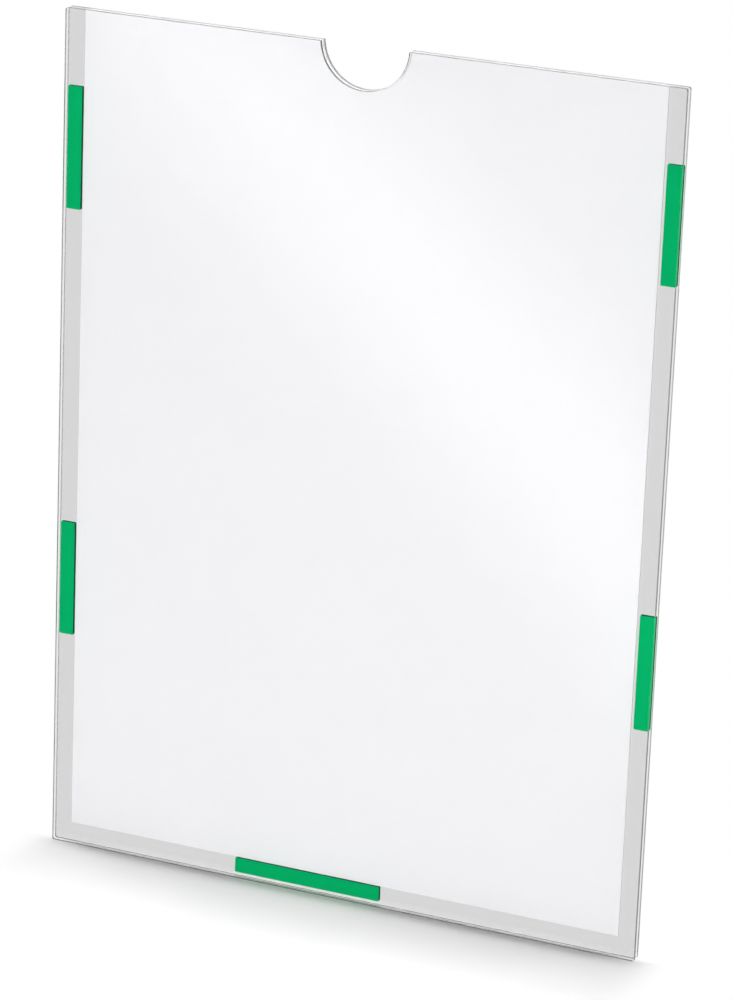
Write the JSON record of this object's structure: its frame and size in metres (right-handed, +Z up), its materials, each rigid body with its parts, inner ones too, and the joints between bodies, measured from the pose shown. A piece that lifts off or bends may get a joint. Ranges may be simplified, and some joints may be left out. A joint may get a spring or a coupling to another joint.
{
  "type": "acrylic sign holder",
  "caption": "Upright clear acrylic sign holder: flat sheets taped a small gap apart, with a white sign between them and a round thumb notch in the top edge.",
  "frame": {"origin": "middle of the bottom edge, halfway through the thickness", "axes": "+Z up along the long side, +X along the width, -Y out of the front face"},
  "size_m": [0.2236, 0.0044, 0.3046],
  "materials": {
    "clear_acrylic": "clear, polished faces and edges",
    "white_card": "smooth matt white",
    "green_foam_tape": "matt green foam"
  },
  "bodies": {
    "root": {"front_sheet": "clear_acrylic", "back_sheet": "clear_acrylic", "sign_sheet": "white_card", "tape_pad_left_upper": "green_foam_tape", "tape_pad_left_lower": "green_foam_tape", "tape_pad_right_upper": "green_foam_tape", "tape_pad_right_lower": "green_foam_tape", "tape_pad_bottom": "green_foam_tape"}
  },
  "joints": []
}
